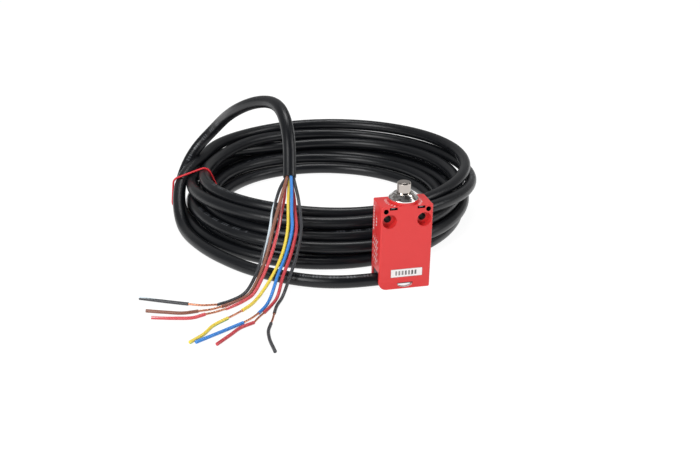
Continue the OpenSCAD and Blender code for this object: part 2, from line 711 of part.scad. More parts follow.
module wire_black_white() { wire(black_white_route, [0.1, 0.1, 0.1]); }
module core_black_white() { core(black_white_core); }
module tip_black_white() { wire(black_white_tip, [0.1, 0.1, 0.1]); }
module wire_brown() { wire(brown_route, [0.45, 0.2, 0.12]); }
module core_brown() { core(brown_core); }
module tip_brown() { wire(brown_tip, [0.45, 0.2, 0.12]); }
module wire_red_white() { wire(red_white_route, [0.85, 0.2, 0.2]); }
module core_red_white() { core(red_white_core); }
module tip_red_white() { wire(red_white_tip, [0.85, 0.2, 0.2]); }
module wire_green_yellow() { wire(green_yellow_route, [0.95, 0.85, 0.1]); }
module core_green_yellow() { core(green_yellow_core); }
module tip_green_yellow() { wire(green_yellow_tip, [0.95, 0.85, 0.1]); }
module wire_blue() { wire(blue_route, [0.1, 0.45, 0.85]); }
module core_blue() { core(blue_core); }
module tip_blue() { wire(blue_tip, [0.1, 0.45, 0.85]); }
module wire_red() { wire(red_route, [0.85, 0.1, 0.15]); }
module core_red() { core(red_core); }
module tip_red() { wire(red_tip, [0.85, 0.1, 0.15]); }
module wire_black() { wire(black_route, [0.1, 0.1, 0.1]); }
module core_black() { core(black_core); }
module tip_black() { wire(black_tip, [0.1, 0.1, 0.1]); }

case();
back_cover();
date_label();
head_body();
head_clip();
head_o_ring();
plunger_wiper();
plunger();
plunger_circlip();
plunger_spring();
contact_housing();
contact_cover();
contact_carrier();
carrier_spring();
nc1_bridge();
nc2_bridge();
no_bridge();
nc1_spring();
nc2_spring();
no_spring();
nc1_terminal_left();
nc1_terminal_right();
nc2_terminal_left();
nc2_terminal_right();
no_terminal_left();
no_terminal_right();
potting_resin();
earth_tag();
earth_screw();
cable_gland();
cable_clamp();
cable_lead();
cable_coil();
cable_tail();
cable_tie();
wire_black_white();
core_black_white();
tip_black_white();
wire_brown();
core_brown();
tip_brown();
wire_red_white();
core_red_white();
tip_red_white();
wire_green_yellow();
core_green_yellow();
tip_green_yellow();
wire_blue();
core_blue();
tip_blue();
wire_red();
core_red();
tip_red();
wire_black();
core_black();
tip_black();
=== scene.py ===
import json

import bmesh
import bpy
import numpy as np
from mathutils import Matrix


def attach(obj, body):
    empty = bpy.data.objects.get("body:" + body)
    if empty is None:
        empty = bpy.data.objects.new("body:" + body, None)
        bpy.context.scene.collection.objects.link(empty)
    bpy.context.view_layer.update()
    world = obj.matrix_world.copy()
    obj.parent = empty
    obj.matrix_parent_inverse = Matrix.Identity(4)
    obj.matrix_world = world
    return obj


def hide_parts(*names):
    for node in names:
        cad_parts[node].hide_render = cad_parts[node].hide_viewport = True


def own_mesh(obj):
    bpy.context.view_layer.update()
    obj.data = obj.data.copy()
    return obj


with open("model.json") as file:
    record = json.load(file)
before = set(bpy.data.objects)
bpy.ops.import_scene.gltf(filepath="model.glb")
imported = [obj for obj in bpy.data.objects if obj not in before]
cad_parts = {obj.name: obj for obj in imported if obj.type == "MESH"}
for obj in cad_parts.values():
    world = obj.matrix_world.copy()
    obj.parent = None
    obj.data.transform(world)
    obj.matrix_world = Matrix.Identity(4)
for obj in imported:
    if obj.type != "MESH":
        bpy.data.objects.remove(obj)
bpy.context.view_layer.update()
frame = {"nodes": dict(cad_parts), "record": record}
nodes = frame["nodes"]
mm = 0.001

# Camera. It looks down on the switch from the front left with a long lens, so the upright edges of
# the body stay nearly parallel. It is turned a little on its own axis, as a hand-held camera is.
camera_azimuth, camera_height, camera_roll = np.radians([-15.783, 22.5, 1.34])
camera_distance = 619 * mm
camera_aim = np.array([0, 0, 25]) * mm
camera_shift = np.array([-29, 9.6]) * mm
focal_pixels = 1100
picture_width = 700
toward = np.array([np.sin(camera_azimuth) * np.cos(camera_height),
                   -np.cos(camera_azimuth) * np.cos(camera_height),
                   np.sin(camera_height)])
level = np.array([np.cos(camera_azimuth), np.sin(camera_azimuth), 0])
upright = np.cross(toward, level)
right = level * np.cos(camera_roll) + upright * np.sin(camera_roll)
up = upright * np.cos(camera_roll) - level * np.sin(camera_roll)
camera_place = camera_aim + toward * camera_distance + right * camera_shift[0] + up * camera_shift[1]
camera_data = bpy.data.cameras.new("camera")
camera_data.sensor_width = 36
camera_data.lens = camera_data.sensor_width * focal_pixels / picture_width
camera = bpy.data.objects.new("camera", camera_data)
camera.matrix_world = Matrix(np.vstack([np.column_stack([right, up, toward, camera_place]), [0, 0, 0, 1]]).tolist())
bpy.context.scene.collection.objects.link(camera)
bpy.context.scene.camera = camera
bpy.context.scene.view_settings.view_transform = "Standard"

# Cable. Five metres of black PVC cable, moulded into the lower left corner of the body, wound by hand
# into nine loose turns and cut square at the far end, where its seven cores come out.
cable_d = 7.5 * mm
coil_centre = np.array([-13, 116]) * mm
tie_angle = 169
tie_d = 1.3 * mm
steps_per_turn = 96
lead_route = np.array([[-8, -1.5, 4.2], [-15, -1.5, 4.2], [-24, -1.5, 4], [-36, -0.5, 4], [-48, 3.5, 3.8],
                       [-60, 10, 3.8], [-71, 18.5, 3.8], [-82, 29, 3.8], [-91, 42, 3.8], [-99, 56, 3.8],
                       [-105, 71, 3.8], [-109, 86, 3.8], [-111, 100, 3.8]]) * mm
tail_route = np.array([[-106.5, 114, 4], [-108.5, 127, 4.5], [-108, 139, 9], [-105, 149, 17], [-100, 155.5, 25.5],
                       [-96, 159, 31], [-89.5, 160.5, 38.5], [-83, 158.5, 45], [-78.5, 153, 52.5],
                       [-75.5, 141, 60.5], [-72, 125, 69.5], [-63, 105, 80], [-57, 92, 84], [-54, 79, 85],
                       [-53, 68, 83], [-53, 59, 78], [-53, 52, 71], [-54, 47.5, 62.5], [-55.5, 40.5, 53.5]]) * mm
# Where each turn passes, as its angle round the coil in degrees, its radius and its height in mm
turns = [
    [(184, 99.3, 6.5), (178, 99, 10.5), (172, 98, 14), (166, 93.5, 19), (160, 86, 25.5), (155, 82, 28.5),
     (150, 81, 29.5), (144, 83, 29), (135, 88, 27), (125, 91.5, 25), (115, 93.5, 25.5), (105, 95, 27),
     (90, 96, 29), (65, 98, 30), (45, 99.5, 30), (20, 99.5, 30), (-5, 98, 29.5), (-18, 90, 29), (-31, 79, 29),
     (-45, 73, 27), (-90, 72, 25),
     (-113, 72, 28), (-135, 73, 28), (-158, 80, 27.5)],
    [(169, 84, 25), (155, 79.5, 21), (129, 83, 21), (110, 89, 22), (90, 92, 22.5), (45, 95.5, 23), (0, 98, 23),
     (-17, 97.5, 24), (-27, 93, 22), (-38, 87, 24), (-49, 82, 24), (-90, 79.5, 23), (-135, 79, 22)],
    [(169, 91, 20), (145, 88.5, 19), (120, 87, 17.5), (90, 86, 17.5), (60, 88.5, 18.5), (30, 91.5, 19.5),
     (8, 89.5, 19), (-12, 85.5, 18), (-45, 83, 17), (-90, 83, 16)],
    [(169, 83.5, 17), (145, 84.5, 14.5), (120, 92, 14), (90, 95.5, 15.5), (20, 92, 14.5), (-10, 88, 14.5),
     (-20, 86, 14), (-32, 84.5, 13.5), (-45, 84.5, 13.5), (-60, 87, 13), (-90, 90, 12.5)],
    [(169, 87, 11), (90, 88, 10.5), (-10, 82.5, 11), (-25, 79, 11), (-45, 76.5, 12.5), (-90, 74.5, 17.5)],
    [(169, 79.5, 11), (90, 79, 9), (-10, 75, 9.5), (-25, 71.5, 9.5), (-45, 70, 9.5), (-90, 75, 10.5)],
    [(169, 74.5, 5), (90, 72.5, 4), (0, 72, 4), (-20, 69, 4), (-32, 65, 4), (-45, 65, 4), (-60, 70, 4), (-90, 76, 4)],
    [(169, 82, 5), (90, 84.5, 4), (0, 80, 4), (-20, 76.5, 4), (-32, 72.5, 4), (-45, 72.5, 4), (-60, 78, 4),
     (-90, 85, 4.5)],
    [(169, 89.5, 5), (90, 92, 4), (0, 88, 4), (-20, 84, 4), (-32, 80, 4), (-45, 80, 4), (-60, 86, 4), (-90, 93, 4)]]


def through(knots, values, spots):
    """Cubic between each two knots, with the slope at a knot taken from the knots on both its sides."""
    slope = np.gradient(values, knots, axis=0)
    at = np.clip(np.searchsorted(knots, spots, side="right") - 1, 0, len(knots) - 2)
    width = (knots[at + 1] - knots[at])[:, None]
    t = (spots - knots[at])[:, None] / width
    return ((2 * t**3 - 3 * t**2 + 1) * values[at] + (t**3 - 2 * t**2 + t) * width * slope[at]
            + (3 * t**2 - 2 * t**3) * values[at + 1] + (t**3 - t**2) * width * slope[at + 1])


def travelled(points):
    """Length along the points, from the first to each of them."""
    return np.concatenate([[0], np.cumsum(np.linalg.norm(np.diff(points, axis=0), axis=1))])


def smooth_path(points, step):
    """One smooth curve through the points, as new points that lie about one step apart."""
    chord = travelled(points)
    fine = np.linspace(0, chord[-1], 12 * len(points))
    run = travelled(through(chord, points, fine))
    even = np.linspace(0, run[-1], int(np.ceil(run[-1] / step)) + 1)
    return through(chord, points, np.interp(even, run, fine))


def polar(points):
    """Angle round the coil in degrees, radius and height of each point, with the angles in one run."""
    flat = points[:, :2] - coil_centre
    angle = np.degrees(np.arctan2(flat[:, 1], flat[:, 0])) % 360
    return np.column_stack([angle, np.linalg.norm(flat, axis=1), points[:, 2]])


lead_in, lead_polar = lead_route[:-3], polar(lead_route[-3:])
tail_out, tail_polar = tail_route[6:], polar(tail_route[:6])
tail_polar[:, 0] -= 360 * len(turns)
stations = [np.array(turn) * [1, mm, mm] - [360 * count, 0, 0] for count, turn in enumerate(turns)]
stations = np.vstack([lead_polar, *stations, tail_polar])
turned = stations[0, 0] - stations[:, 0]
sweep = np.arange(0, turned[-1], 360 / steps_per_turn)
angle = stations[0, 0] - sweep
wanted = through(turned, stations[:, 1:], sweep)
section = wanted.copy()
free = ((sweep > turned[2]) & (sweep < turned[-len(tail_polar)]))[:, None].astype(float)
tie_lift = tie_d * np.exp(-(((angle - tie_angle + 180) % 360 - 180) / 8) ** 2)
lowest = cable_d / 2 + 0.05 * mm + tie_lift
# Turns that lie too close push each other apart, in the plane across the coil, and settle smoothly
for settle in range(400):
    for apart in 3 * list(range(1, len(turns) + 1)):
        shift = apart * steps_per_turn
        if shift >= len(section):
            continue
        gap = section[shift:] - section[:-shift]
        distance = np.linalg.norm(gap, axis=1, keepdims=True)
        clear = (0.97 if apart == len(turns) else 1.03) * cable_d
        push = np.maximum(0, clear - distance) * gap / distance
        share = np.maximum(free[shift:] + free[:-shift], 1)
        section[shift:] += push * free[shift:] / share
        section[:-shift] -= push * free[:-shift] / share
    for smoothing in range(2):
        middle = (section[:-2] + 2 * section[1:-1] + section[2:]) / 4
        section[1:-1] += (middle - section[1:-1]) * free[1:-1]
    if settle < 360:
        section += 0.08 * (wanted - section) * free
    section[:, 1] = np.maximum(section[:, 1], np.where(free[:, 0] > 0, lowest, section[:, 1]))
round_coil = np.column_stack([coil_centre[0] + section[:, 0] * np.cos(np.radians(angle)),
                              coil_centre[1] + section[:, 0] * np.sin(np.radians(angle)), section[:, 1]])
cable_path = smooth_path(np.vstack([lead_in, round_coil, tail_out]), 3 * mm)
for smoothing in range(12):
    cable_path[1:-1] += (cable_path[:-2] - 2 * cable_path[1:-1] + cable_path[2:]) / 4
cable_path[:, 2] = np.maximum(cable_path[:, 2], cable_d / 2)


def carried_frame(path):
    """Direction of the path at each of its points, and two directions square to it that don't twist."""
    ahead = np.gradient(path, axis=0)
    ahead /= np.linalg.norm(ahead, axis=1, keepdims=True)
    side = np.cross(ahead, [0, 0, 1] if abs(ahead[0, 2]) < 0.9 else [0, 1, 0])
    for i in range(1, len(path)):
        side[i] = side[i - 1] - ahead[i] * (side[i - 1] @ ahead[i])
    side /= np.linalg.norm(side, axis=1, keepdims=True)
    return ahead, side, np.cross(ahead, side)


def tube(name, path, radius, sides, end_rows=()):
    """Rings square to the path. The radius is a number, or a function of length along and angle around. Each end
    row adds a ring at the far end, by its step back along the path and its share of the radius. A point closes
    both ends. The UV map holds the length along in metres and the share of a turn around."""
    ahead, side, over = carried_frame(path)
    along = travelled(path)
    around = np.linspace(0, 2 * np.pi, sides, endpoint=False)
    size = radius(along[:, None], around[None]) if callable(radius) else np.full((len(path), sides), radius)
    ray = np.cos(around)[None, :, None] * side[:, None] + np.sin(around)[None, :, None] * over[:, None]
    rings = path[:, None] + size[..., None] * ray
    extra = [path[-1] - back * ahead[-1] + share * size[-1][:, None] * ray[-1] for back, share in end_rows]
    rings = np.concatenate([rings, np.array(extra).reshape(-1, sides, 3)])
    last = path[-1] - (end_rows[-1][0] if end_rows else 0) * ahead[-1]
    vertices = np.vstack([rings.reshape(-1, 3), path[0], last])
    count = len(rings)
    row, column = np.meshgrid(np.arange(count - 1), np.arange(sides), indexing="ij")
    after = (column + 1) % sides
    quads = np.stack([row * sides + column, row * sides + after, (row + 1) * sides + after,
                      (row + 1) * sides + column], axis=-1).reshape(-1, 4)
    start = np.stack([np.full(sides, count * sides), after[0], column[0]], axis=-1)
    finish = np.stack([np.full(sides, count * sides + 1), (count - 1) * sides + column[0],
                       (count - 1) * sides + after[0]], axis=-1)
    mesh = bpy.data.meshes.new(name)
    mesh.from_pydata(vertices.tolist(), [], quads.tolist() + start.tolist() + finish.tolist())
    length_at = np.concatenate([along, np.full(len(end_rows), along[-1])])
    quad_uv = np.stack([length_at[np.stack([row, row, row + 1, row + 1], axis=-1)],
                        np.stack([column, column + 1, column + 1, column], axis=-1) / sides], axis=-1)
    flat = np.zeros((2 * sides * 3, 2))
    flat[: sides * 3, 0], flat[sides * 3:, 0] = 0, along[-1]
    flat[:, 1] = np.tile(np.repeat(column[0] / sides, 3), 2)
    mesh.uv_layers.new(name="length").data.foreach_set("uv", np.vstack([quad_uv.reshape(-1, 2), flat]).ravel())
    mesh.shade_smooth()
    mesh.set_sharp_from_angle(angle=np.radians(50))
    piece = bpy.data.objects.new(name, mesh)
    bpy.context.scene.collection.objects.link(piece)
    return piece


def linear(hex_colour):
    """sRGB hex value as linear red, green, blue and a full alpha."""
    share = np.array([int(hex_colour[i: i + 2], 16) for i in (1, 3, 5)]) / 255
    value = np.where(share <= 0.04045, share / 12.92, ((share + 0.055) / 1.055) ** 2.4)
    return (*value.tolist(), 1.0)


def add(tree, kind, inputs=None, **settings):
    """Adds one node with its settings. An input is a value, or the output socket that is linked to it."""
    node = tree.nodes.new(kind)
    for name, value in settings.items():
        setattr(node, name, value)
    for name, value in (inputs or {}).items():
        if isinstance(value, bpy.types.NodeSocket):
            tree.links.new(value, node.inputs[name])
        else:
            node.inputs[name].default_value = value
    return node


def material(name):
    """New material with a Principled shader, as its node tree and that shader."""
    made = bpy.data.materials.new(name)
    made.use_nodes = True
    return made, made.node_tree, made.node_tree.nodes["Principled BSDF"]


def grain(tree, shader, coordinates, size, depth, roughness):
    """Fine unevenness of a moulded or drawn skin: noise of one grain size for its height and its gloss."""
    noise = add(tree, "ShaderNodeTexNoise", {"Vector": coordinates, "Scale": 1 / size, "Detail": 3})
    bump = add(tree, "ShaderNodeBump", {"Height": noise.outputs["Fac"], "Distance": depth, "Strength": 0.6})
    gloss = add(tree, "ShaderNodeMapRange", {"Value": noise.outputs["Fac"], "From Min": 0.3, "From Max": 0.7,
                                             "To Min": roughness[0], "To Max": roughness[1]})
    tree.links.new(bump.outputs["Normal"], shader.inputs["Normal"])
    tree.links.new(gloss.outputs["Result"], shader.inputs["Roughness"])


cable_pvc, tree, shader = material("extruded_black_pvc")
place = add(tree, "ShaderNodeUVMap", uv_map="length").outputs["UV"]
# Plasticised PVC drawn through a die: deep black and satin, with faint drag lines along it, dust, and a row of
# plain grey print marks in short groups, worn by handling, that comes round every 330 mm on the side that lies up
stretch = add(tree, "ShaderNodeMapping", {"Vector": place, "Scale": (60, 24, 1)}).outputs["Vector"]
grain(tree, shader, stretch, 1.0, 0.008 * mm, (0.27, 0.4))
shader.inputs["Specular IOR Level"].default_value = 0.4
split = add(tree, "ShaderNodeSeparateXYZ", {"Vector": place})
bar = add(tree, "ShaderNodeMath", {0: split.outputs["X"], 1: 1.9 * mm}, operation="FLOORED_MODULO")
bar = add(tree, "ShaderNodeMath", {0: bar.outputs[0], 1: 1.1 * mm}, operation="LESS_THAN")
group = add(tree, "ShaderNodeMath", {0: split.outputs["X"], 1: 9.3 * mm}, operation="FLOORED_MODULO")
group = add(tree, "ShaderNodeMath", {0: group.outputs[0], 1: 6 * mm}, operation="LESS_THAN")
word = add(tree, "ShaderNodeMath", {0: split.outputs["X"], 1: 330 * mm}, operation="FLOORED_MODULO")
word = add(tree, "ShaderNodeMath", {0: word.outputs[0], 1: 50 * mm}, operation="LESS_THAN")
band = add(tree, "ShaderNodeMath", {0: split.outputs["Y"], 1: 0.7, 2: 0.045}, operation="COMPARE")
mask = add(tree, "ShaderNodeMath", {0: bar.outputs[0], 1: group.outputs[0]}, operation="MULTIPLY")
mask = add(tree, "ShaderNodeMath", {0: mask.outputs[0], 1: word.outputs[0]}, operation="MULTIPLY")
mask = add(tree, "ShaderNodeMath", {0: mask.outputs[0], 1: band.outputs[0]}, operation="MULTIPLY")
worn = add(tree, "ShaderNodeTexNoise", {"Vector": place, "Scale": 1100, "Detail": 2})
worn = add(tree, "ShaderNodeMapRange", {"Value": worn.outputs["Fac"], "From Min": 0.4, "From Max": 0.6,
                                        "To Min": 0.1, "To Max": 0.8})
mask = add(tree, "ShaderNodeMath", {0: mask.outputs[0], 1: worn.outputs["Result"]}, operation="MULTIPLY")
ink = add(tree, "ShaderNodeMix", {"Factor": mask.outputs[0], 6: linear("#0f1115"), 7: linear("#63666b")},
          data_type="RGBA")
tree.links.new(ink.outputs[2], shader.inputs["Base Color"])

cable = tube("cable", cable_path, cable_d / 2, 20, end_rows=[(0, 0.84), (2.5 * mm, 0.82)])
cable.data.materials.append(cable_pvc)
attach(cable, "root")
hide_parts("cable_lead", "cable_coil", "cable_tail")

# Tie. A thin red plastic tie, pulled tight round all the turns at the left of the coil, so that it runs
# over the outermost ones in straight spans and bends only where it goes round them.
strand = np.array([[np.interp(stations[0, 0] - tie_angle + 360 * count, sweep, section[:, part]) for part in (0, 1)]
                   for count in range(len(turns) + 1)])
facing = np.radians(np.linspace(-100, 255, 72))
outward = np.column_stack([np.cos(facing), np.sin(facing)])
reach = (cable_d + tie_d) / 2
hoop = strand[np.argmax(strand @ outward.T, axis=0)] + reach * outward
hoop[:, 1] = np.maximum(hoop[:, 1], tie_d / 2)
spoke = np.radians(tie_angle)
tie_path = np.column_stack([coil_centre[0] + hoop[:, 0] * np.cos(spoke),
                            coil_centre[1] + hoop[:, 0] * np.sin(spoke), hoop[:, 1]])
tie_plastic, tree, shader = material("drawn_red_polyethylene")
grain(tree, shader, add(tree, "ShaderNodeTexCoord").outputs["Object"], 0.4 * mm, 0.03 * mm, (0.35, 0.5))
shader.inputs["Base Color"].default_value = linear("#d81f2c")
tie = tube("tie", tie_path, tie_d / 2, 10)
tie.data.materials.append(tie_plastic)
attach(tie, "root")
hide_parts("cable_tie")

# Cores. Seven stranded cores of soft PVC-insulated copper. Each is stripped by cutting its insulation and
# sliding the cut end along, so that twisted bare copper shows between two lengths of colour.
wire_d = 1.9 * mm
copper_d = 1.2 * mm
cores = {
    "black_white": ("#141518", "#d3e0e8", 0.3, 70, 0.0, "#6c6f74", [
        [[-57.5, 41, 53], [-61, 38, 49.5], [-64.5, 34, 44], [-67.5, 30, 37.5], [-70, 25, 30], [-75.5, 17, 19],
         [-82, 9, 8], [-89, 2, 2], [-98, -4, 1], [-106, -7, 1]],
        [[-106, -7, 1], [-114, -6, 1], [-121, -3, 1]],
        [[-121, -3, 1], [-133, 3, 1], [-146, 10, 1]]]),
    "brown": ("#774534", "#774534", 0, 70, 0.0, "#b98672", [
        [[-57, 39.5, 54.5], [-59.5, 35.5, 50.5], [-62.5, 31, 45], [-65.5, 27, 38.5], [-69, 22, 31],
         [-73.5, 16, 19], [-80, 8, 8], [-87, 1, 1.5], [-96, -6, 1], [-104, -10, 1]],
        [[-104, -10, 1], [-110, -12, 1], [-117, -12.5, 1]],
        [[-117, -12.5, 1], [-125, -13, 1], [-134, -10, 1], [-144, -6, 1]]]),
    "red_white": ("#ca3440", "#f2d9d9", 0.06, 70, 0.0, "#ea868a", [
        [[-56, 42, 52], [-58, 39.5, 49], [-60, 34.5, 43], [-62.5, 30, 37], [-65.5, 24, 30], [-71, 15.5, 19],
         [-78, 7, 8.5], [-85, 0, 1.5], [-94, -8, 1], [-102, -13, 1]],
        [[-102, -13, 1], [-108, -15.5, 1], [-114, -17, 1]],
        [[-114, -17, 1], [-121, -19.5, 1], [-130, -18, 1], [-142, -14.5, 1]]]),
    "green_yellow": ("#ecce35", "#4f9a44", 0.14, 400, 0.38, "#f6e57c", [
        [[-55.5, 40.5, 53.5], [-56.5, 37.5, 49.5], [-58, 32.5, 44], [-59, 28, 37.5], [-60.5, 22, 30.5],
         [-65, 14, 19.5], [-73, 6, 8.5], [-81, -1, 1.5], [-88, -11, 1], [-94, -17, 1]],
        [[-94, -17, 1], [-99, -21, 1], [-103, -24, 1]],
        [[-103, -24, 1], [-112, -31, 1], [-118, -39, 1], [-126, -46, 1]]]),
    "blue": ("#2178cf", "#2178cf", 0, 70, 0.0, "#5aa6ee", [
        [[-55, 39, 55], [-55.5, 35.5, 50], [-56.5, 30.5, 44.5], [-57.5, 26, 38], [-58.5, 20, 31],
         [-63, 13, 19.5], [-70, 5, 9], [-76, -5, 1.5], [-81, -15, 1], [-86, -22, 1]],
        [[-86, -22, 1], [-91, -27, 1], [-96, -31, 1]],
        [[-96, -31, 1], [-109, -38.5, 1], [-123, -46.5, 1]]]),
    "red": ("#b9242f", "#b9242f", 0, 70, 0.0, "#dd6d75", [
        [[-54, 41.5, 52.5], [-54.5, 38.5, 49], [-54.5, 33, 43.5], [-55, 28, 37], [-56, 20, 31], [-61, 11, 19.5],
         [-67.5, 3, 9], [-73, -7, 1.5], [-78, -15, 1], [-83, -22, 1]],
        [[-83, -22, 1], [-87, -27, 1], [-90.5, -32, 1]],
        [[-90.5, -32, 1], [-98, -36, 1], [-105, -43, 1], [-113, -51, 1]]]),
    "black": ("#151619", "#151619", 0, 70, 0.0, "#6f7277", [
        [[-53.5, 40, 54], [-53, 36.5, 49.5], [-52.5, 31.5, 44], [-52.5, 26.5, 37.5], [-53.5, 19, 31],
         [-58, 10, 19], [-64, 2, 8.5], [-70, -7, 1.5], [-75, -16, 1], [-78, -24, 1]],
        [[-78, -24, 1], [-80, -30, 1], [-82, -35, 1]],
        [[-82, -35, 1], [-85, -43, 1], [-86, -50, 1], [-86, -65, 1]]])}


def insulation(name, ground, stripe, width, pitch, start, ridge_highlight_colour):
    """Soft PVC skin of a core: one colour with a stripe that winds slowly round it, and low ridges where the laid
    strands press it from inside, painted paler on their crests as a painted highlight. Both run at a slant: turns along
    plus share of a turn around.
    takes a share of the turn, its width, from the start on, and comes round once in every pitch, in mm."""
    made, tree, shader = material(name)
    place = add(tree, "ShaderNodeUVMap", uv_map="length").outputs["UV"]
    split = add(tree, "ShaderNodeSeparateXYZ", {"Vector": place})
    slow = add(tree, "ShaderNodeMath", {0: split.outputs["X"], 1: 1 / (pitch * mm), 2: split.outputs["Y"]},
               operation="MULTIPLY_ADD")
    slow = add(tree, "ShaderNodeMath", {0: slow.outputs[0], 1: start}, operation="SUBTRACT")
    inside = add(tree, "ShaderNodeMath", {0: slow.outputs[0], 1: 1.0}, operation="FLOORED_MODULO")
    inside = add(tree, "ShaderNodeMath", {0: inside.outputs[0], 1: width}, operation="LESS_THAN")
    quick = add(tree, "ShaderNodeMath", {0: split.outputs["X"], 1: 1 / (9 * mm), 2: split.outputs["Y"]},
                operation="MULTIPLY_ADD")
    ridge = add(tree, "ShaderNodeMath", {0: quick.outputs[0], 1: 2 * np.pi * 7}, operation="MULTIPLY")
    ridge = add(tree, "ShaderNodeMath", {0: ridge.outputs[0]}, operation="SINE")
    # Ridge crests are painted paler in the highlight colour: a painted highlight along the ridges
    ridge_highlight = add(tree, "ShaderNodeMapRange", {"Value": ridge.outputs[0], "From Min": -0.2, "From Max": 1.0,
                                            "To Min": 0.0, "To Max": 0.7})
    tint = add(tree, "ShaderNodeMix", {"Factor": ridge_highlight.outputs["Result"], 6: linear(ground), 7: linear(ridge_highlight_colour)},
               data_type="RGBA")
    paint = add(tree, "ShaderNodeMix", {"Factor": inside.outputs[0], 6: tint.outputs[2], 7: linear(stripe)},
                data_type="RGBA")
    bump = add(tree, "ShaderNodeBump", {"Height": ridge.outputs[0], "Distance": 0.03 * mm, "Strength": 0.5})
    tree.links.new(paint.outputs[2], shader.inputs["Base Color"])
    tree.links.new(bump.outputs["Normal"], shader.inputs["Normal"])
    shader.inputs["Roughness"].default_value = 0.36
    return made


def strands(along, around):
    """Seven thin wires laid together: the radius swells over each of them, and the pattern turns along."""
    return copper_d / 2 * (0.93 + 0.07 * np.cos(7 * (around - 2 * np.pi * along / (11 * mm))))


bare_copper, tree, shader = material("drawn_soft_copper")
# Annealed copper wire, fresh from its insulation: bright and warm, with duller grooves between the wires
object_place = add(tree, "ShaderNodeTexCoord").outputs["Object"]
grain(tree, shader, object_place, 0.3 * mm, 0.02 * mm, (0.25, 0.45))
shader.inputs["Base Color"].default_value = linear("#d08f72")
shader.inputs["Metallic"].default_value = 1

for core_name, (*skin_facts, routes) in cores.items():
    skin = insulation("pvc_" + core_name, *skin_facts)
    wire_path, core_path, tip_path = [smooth_path(np.array(route) * mm, 0.8 * mm) for route in routes]
    for route_path in (wire_path, core_path, tip_path):
        route_path[:, 2] = np.maximum(route_path[:, 2], wire_d / 2)
    wire = tube("insulated_" + core_name, wire_path, wire_d / 2, 14)
    bare = tube("copper_" + core_name, smooth_path(core_path, 0.25 * mm), strands, 28)
    tip = tube("slid_end_" + core_name, tip_path, wire_d / 2, 14)
    for piece, paint, slot, stands_for in ((wire, skin, "insulation_" + core_name, "wire_"),
                                           (bare, bare_copper, "bare_copper", "core_"),
                                           (tip, skin, "insulation_" + core_name, "tip_")):
        piece.data.materials.append(paint)
        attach(piece, "root")
        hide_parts(stands_for + core_name)

# Body. A zinc die casting, open at the back, with a turret ring for the head, counterbored fixing holes and
# a half-moon slot for a strap. It is powder coated red all over, after the holes are drilled.
red_coat, tree, shader = material("red_powder_coat_on_zinc")
object_place = add(tree, "ShaderNodeTexCoord").outputs["Object"]
grain(tree, shader, object_place, 0.35 * mm, 0.015 * mm, (0.32, 0.42))
split = add(tree, "ShaderNodeSeparateXYZ", {"Vector": object_place})
side = add(tree, "ShaderNodeMath", {0: split.outputs["X"]}, operation="ABSOLUTE")


def near(value, middle, reach):
    """1 where the value lies within the reach of the middle, and 0 elsewhere."""
    return add(tree, "ShaderNodeMath", {0: value, 1: middle, 2: reach}, operation="COMPARE").outputs[0]


def both(first, second):
    """1 where both are 1."""
    return add(tree, "ShaderNodeMath", {0: first, 1: second}, operation="MULTIPLY").outputs[0]


def either(first, second):
    """1 where one of the two is 1."""
    return add(tree, "ShaderNodeMath", {0: first, 1: second}, operation="MAXIMUM").outputs[0]


def round_hole(x, z, radius):
    """1 inside a round hole along Y, and the same hole on the other side of the body: (|X| - x)^2 + (Z - z)^2 < r^2."""
    across = add(tree, "ShaderNodeMath", {0: side.outputs[0], 1: x}, operation="SUBTRACT")
    above = add(tree, "ShaderNodeMath", {0: split.outputs["Z"], 1: z}, operation="SUBTRACT")
    across = add(tree, "ShaderNodeMath", {0: across.outputs[0], 1: 2}, operation="POWER")
    above = add(tree, "ShaderNodeMath", {0: above.outputs[0], 1: 2}, operation="POWER")
    away = add(tree, "ShaderNodeMath", {0: across.outputs[0], 1: above.outputs[0]}, operation="ADD")
    return add(tree, "ShaderNodeMath", {0: away.outputs[0], 1: radius**2}, operation="LESS_THAN").outputs[0]


def stripes(value, pitch, share):
    """1 on the first share of every pitch along the value."""
    part = add(tree, "ShaderNodeMath", {0: value, 1: pitch}, operation="FLOORED_MODULO")
    return add(tree, "ShaderNodeMath", {0: part.outputs[0], 1: share * pitch}, operation="LESS_THAN").outputs[0]


# Painted shade in the openings: the walls of the fixing holes are bare zinc, darkened with painted shade.
# The small holes, the clip slots and the upper wall of the strap slot are painted near black as painted shade
screw_hole_zinc_and_shade = round_hole(10 * mm, 41.3 * mm, 2.2 * mm)
small_holes = round_hole(12.2 * mm, 47.3 * mm, 1.44 * mm)
clip_slots = both(near(side.outputs[0], 8 * mm, 2.24 * mm), near(split.outputs["Z"], 48.7 * mm, 0.72 * mm))
in_slot = both(near(split.outputs["X"], 0.3 * mm, 4.6 * mm), near(split.outputs["Y"], -7.2 * mm, 1.2 * mm))
slot_top_shade = both(in_slot, near(split.outputs["Z"], 3.3 * mm, 0.4 * mm))
# The lower wall of the strap slot is painted near white: a painted highlight for the floor seen through the slot
slot_foot_highlight = both(both(in_slot, near(split.outputs["Z"], 1.4 * mm, 0.9 * mm)), near(split.outputs["Y"], -6.9 * mm, 1.0 * mm))
painted_shade = either(either(small_holes, clip_slots), slot_top_shade)
